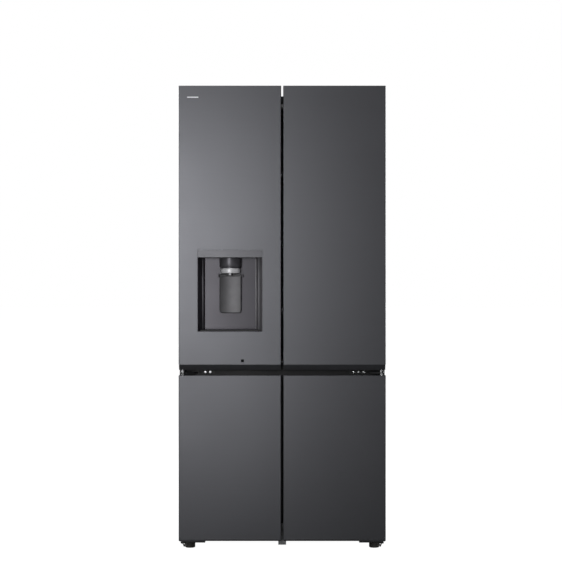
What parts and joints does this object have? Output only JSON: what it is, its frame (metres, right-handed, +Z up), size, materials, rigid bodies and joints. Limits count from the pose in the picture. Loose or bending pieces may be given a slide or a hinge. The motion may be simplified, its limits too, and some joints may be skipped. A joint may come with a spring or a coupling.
{
  "type": "french door refrigerator",
  "caption": "Tall refrigerator with two hinged upper doors, two hinged lower freezer doors, and an ice and water dispenser in the upper left door.",
  "frame": {"origin": "on the floor, below the centre of the whole refrigerator's outline", "axes": "+Z up, the doors face -Y, +X to the right of someone facing the doors"},
  "size_m": [0.835, 0.734, 1.875],
  "materials": {
    "door_steel": "satin black steel, finely brushed",
    "cabinet_steel": "satin, fine texture",
    "galvanised": "dull zinc",
    "hinge_black": "semi-gloss",
    "bolt_zinc": "bright zinc",
    "foam": "foam",
    "liner_white": "satin white",
    "trim_black": "matt black",
    "paddle_grey": "satin dark grey",
    "display_black": "gloss black",
    "ring_chrome": "bright chrome-plated plastic",
    "gasket": "soft",
    "clear_plastic": "clear",
    "shelf_glass": "tempered glass",
    "shelf_trim": "satin silver",
    "aluminium": "mill finish",
    "ice_parts": "matt grey",
    "auger_steel": "brushed",
    "lamp_white": "translucent white",
    "foot_black": "matt black"
  },
  "bodies": {
    "cabinet": {"outer_shell": "cabinet_steel", "rear_panel": "galvanised", "base_frame": "galvanised", "cabinet_insulation": "foam", "fridge_liner": "liner_white", "freezer_liner": "liner_white", "mid_rail": "hinge_black", "freezer_mullion": "trim_black", "top_hinges": "galvanised", "hinge_covers": "trim_black", "center_hinges": "hinge_black", "bottom_hinges": "hinge_black", "hinge_bolts": "bolt_zinc", "shelf_glass": "shelf_glass", "shelf_frames": "shelf_trim", "crisper_drawers": "clear_plastic", "freezer_drawers_left": "clear_plastic", "freezer_drawers_right": "clear_plastic", "air_duct_cover": "liner_white", "freezer_rear_cover": "liner_white", "evaporator": "aluminium", "compressor": "hinge_black", "condenser": "hinge_black", "machine_cover": "galvanised", "fridge_lamp": "lamp_white", "water_filter": "liner_white"},
    "upper_left_door": {"upper_left_skin": "door_steel", "upper_left_caps": "trim_black", "upper_left_liner": "liner_white", "upper_left_gasket": "gasket", "dispenser_housing": "trim_black", "dispenser_display": "display_black", "dispenser_nozzle": "paddle_grey", "dispenser_ring": "ring_chrome", "drip_tray": "trim_black", "ice_room_cover": "liner_white", "ice_maker": "ice_parts", "ice_bin": "clear_plastic", "sensor_window": "display_black"},
    "upper_right_door": {"upper_right_skin": "door_steel", "upper_right_caps": "trim_black", "upper_right_liner": "liner_white", "upper_right_gasket": "gasket", "door_bins": "clear_plastic"},
    "lower_left_door": {"lower_left_skin": "door_steel", "lower_left_liner": "liner_white", "lower_left_gasket": "gasket"},
    "lower_right_door": {"lower_right_skin": "door_steel", "lower_right_liner": "liner_white", "lower_right_gasket": "gasket"},
    "paddle": {"dispenser_paddle": "paddle_grey"},
    "auger": {"ice_auger": "auger_steel"},
    "flipper": {"flipper_mullion": "trim_black"},
    "sliding_shelf": {"retractable_shelf": "shelf_glass"},
    "condenser_fan_rotor": {"condenser_fan": "trim_black"},
    "freezer_fan_rotor": {"freezer_fan": "liner_white"},
    "left_roller": {"rear_roller_left": "trim_black"},
    "right_roller": {"rear_roller_right": "trim_black"},
    "left_foot": {"levelling_foot_left": "foot_black"},
    "right_foot": {"levelling_foot_right": "foot_black"}
  },
  "joints": [
    {"name": "upper_left_door_hinge", "type": "hinge", "parent": "cabinet", "child": "upper_left_door", "pos_m": [-0.401, -0.343, 1.28], "axis": [0, 0, -1], "range_deg": [0, 110]},
    {"name": "upper_right_door_hinge", "type": "hinge", "parent": "cabinet", "child": "upper_right_door", "pos_m": [0.401, -0.343, 1.28], "axis": [0, 0, 1], "range_deg": [0, 110]},
    {"name": "lower_left_door_hinge", "type": "hinge", "parent": "cabinet", "child": "lower_left_door", "pos_m": [-0.401, -0.343, 0.37], "axis": [0, 0, -1], "range_deg": [0, 110]},
    {"name": "lower_right_door_hinge", "type": "hinge", "parent": "cabinet", "child": "lower_right_door", "pos_m": [0.401, -0.343, 0.37], "axis": [0, 0, 1], "range_deg": [0, 110]},
    {"name": "flipper_hinge", "type": "hinge", "parent": "upper_left_door", "child": "flipper", "pos_m": [-0.025, -0.2824, 1.273], "axis": [0, 0, -1], "range_deg": [0, 90]},
    {"name": "paddle_hinge", "type": "hinge", "parent": "upper_left_door", "child": "paddle", "pos_m": [-0.21075, -0.309, 1.1095], "axis": [1, 0, 0], "range_deg": [0, 6], "stiffness_Nm_per_rad": 1, "springref_deg": -5.73},
    {"name": "auger_spin", "type": "hinge", "parent": "upper_left_door", "child": "auger", "pos_m": [-0.20375, -0.259, 1.32], "axis": [0, 0, 1], "continuous": true},
    {"name": "shelf_slide", "type": "slide", "parent": "cabinet", "child": "sliding_shelf", "axis": [0, 1, 0], "range_m": [0, 0.2]},
    {"name": "condenser_fan_spin", "type": "hinge", "parent": "cabinet", "child": "condenser_fan_rotor", "pos_m": [-0.006, 0.26875, 0.1415], "axis": [1, 0, 0], "continuous": true},
    {"name": "freezer_fan_spin", "type": "hinge", "parent": "cabinet", "child": "freezer_fan_rotor", "pos_m": [0, 0.267, 0.598], "axis": [0, 1, 0], "continuous": true},
    {"name": "left_roller_spin", "type": "hinge", "parent": "cabinet", "child": "left_roller", "pos_m": [-0.3395, 0.3, 0.02], "axis": [1, 0, 0], "continuous": true},
    {"name": "right_roller_spin", "type": "hinge", "parent": "cabinet", "child": "right_roller", "pos_m": [0.3395, 0.3, 0.02], "axis": [1, 0, 0], "continuous": true},
    {"name": "left_foot_screw", "type": "hinge", "parent": "cabinet", "child": "left_foot", "pos_m": [-0.376, -0.273, 0.01], "axis": [0, 0, 1], "continuous": true},
    {"name": "right_foot_screw", "type": "hinge", "parent": "cabinet", "child": "right_foot", "pos_m": [0.376, -0.273, 0.01], "axis": [0, 0, 1], "continuous": true}
  ]
}
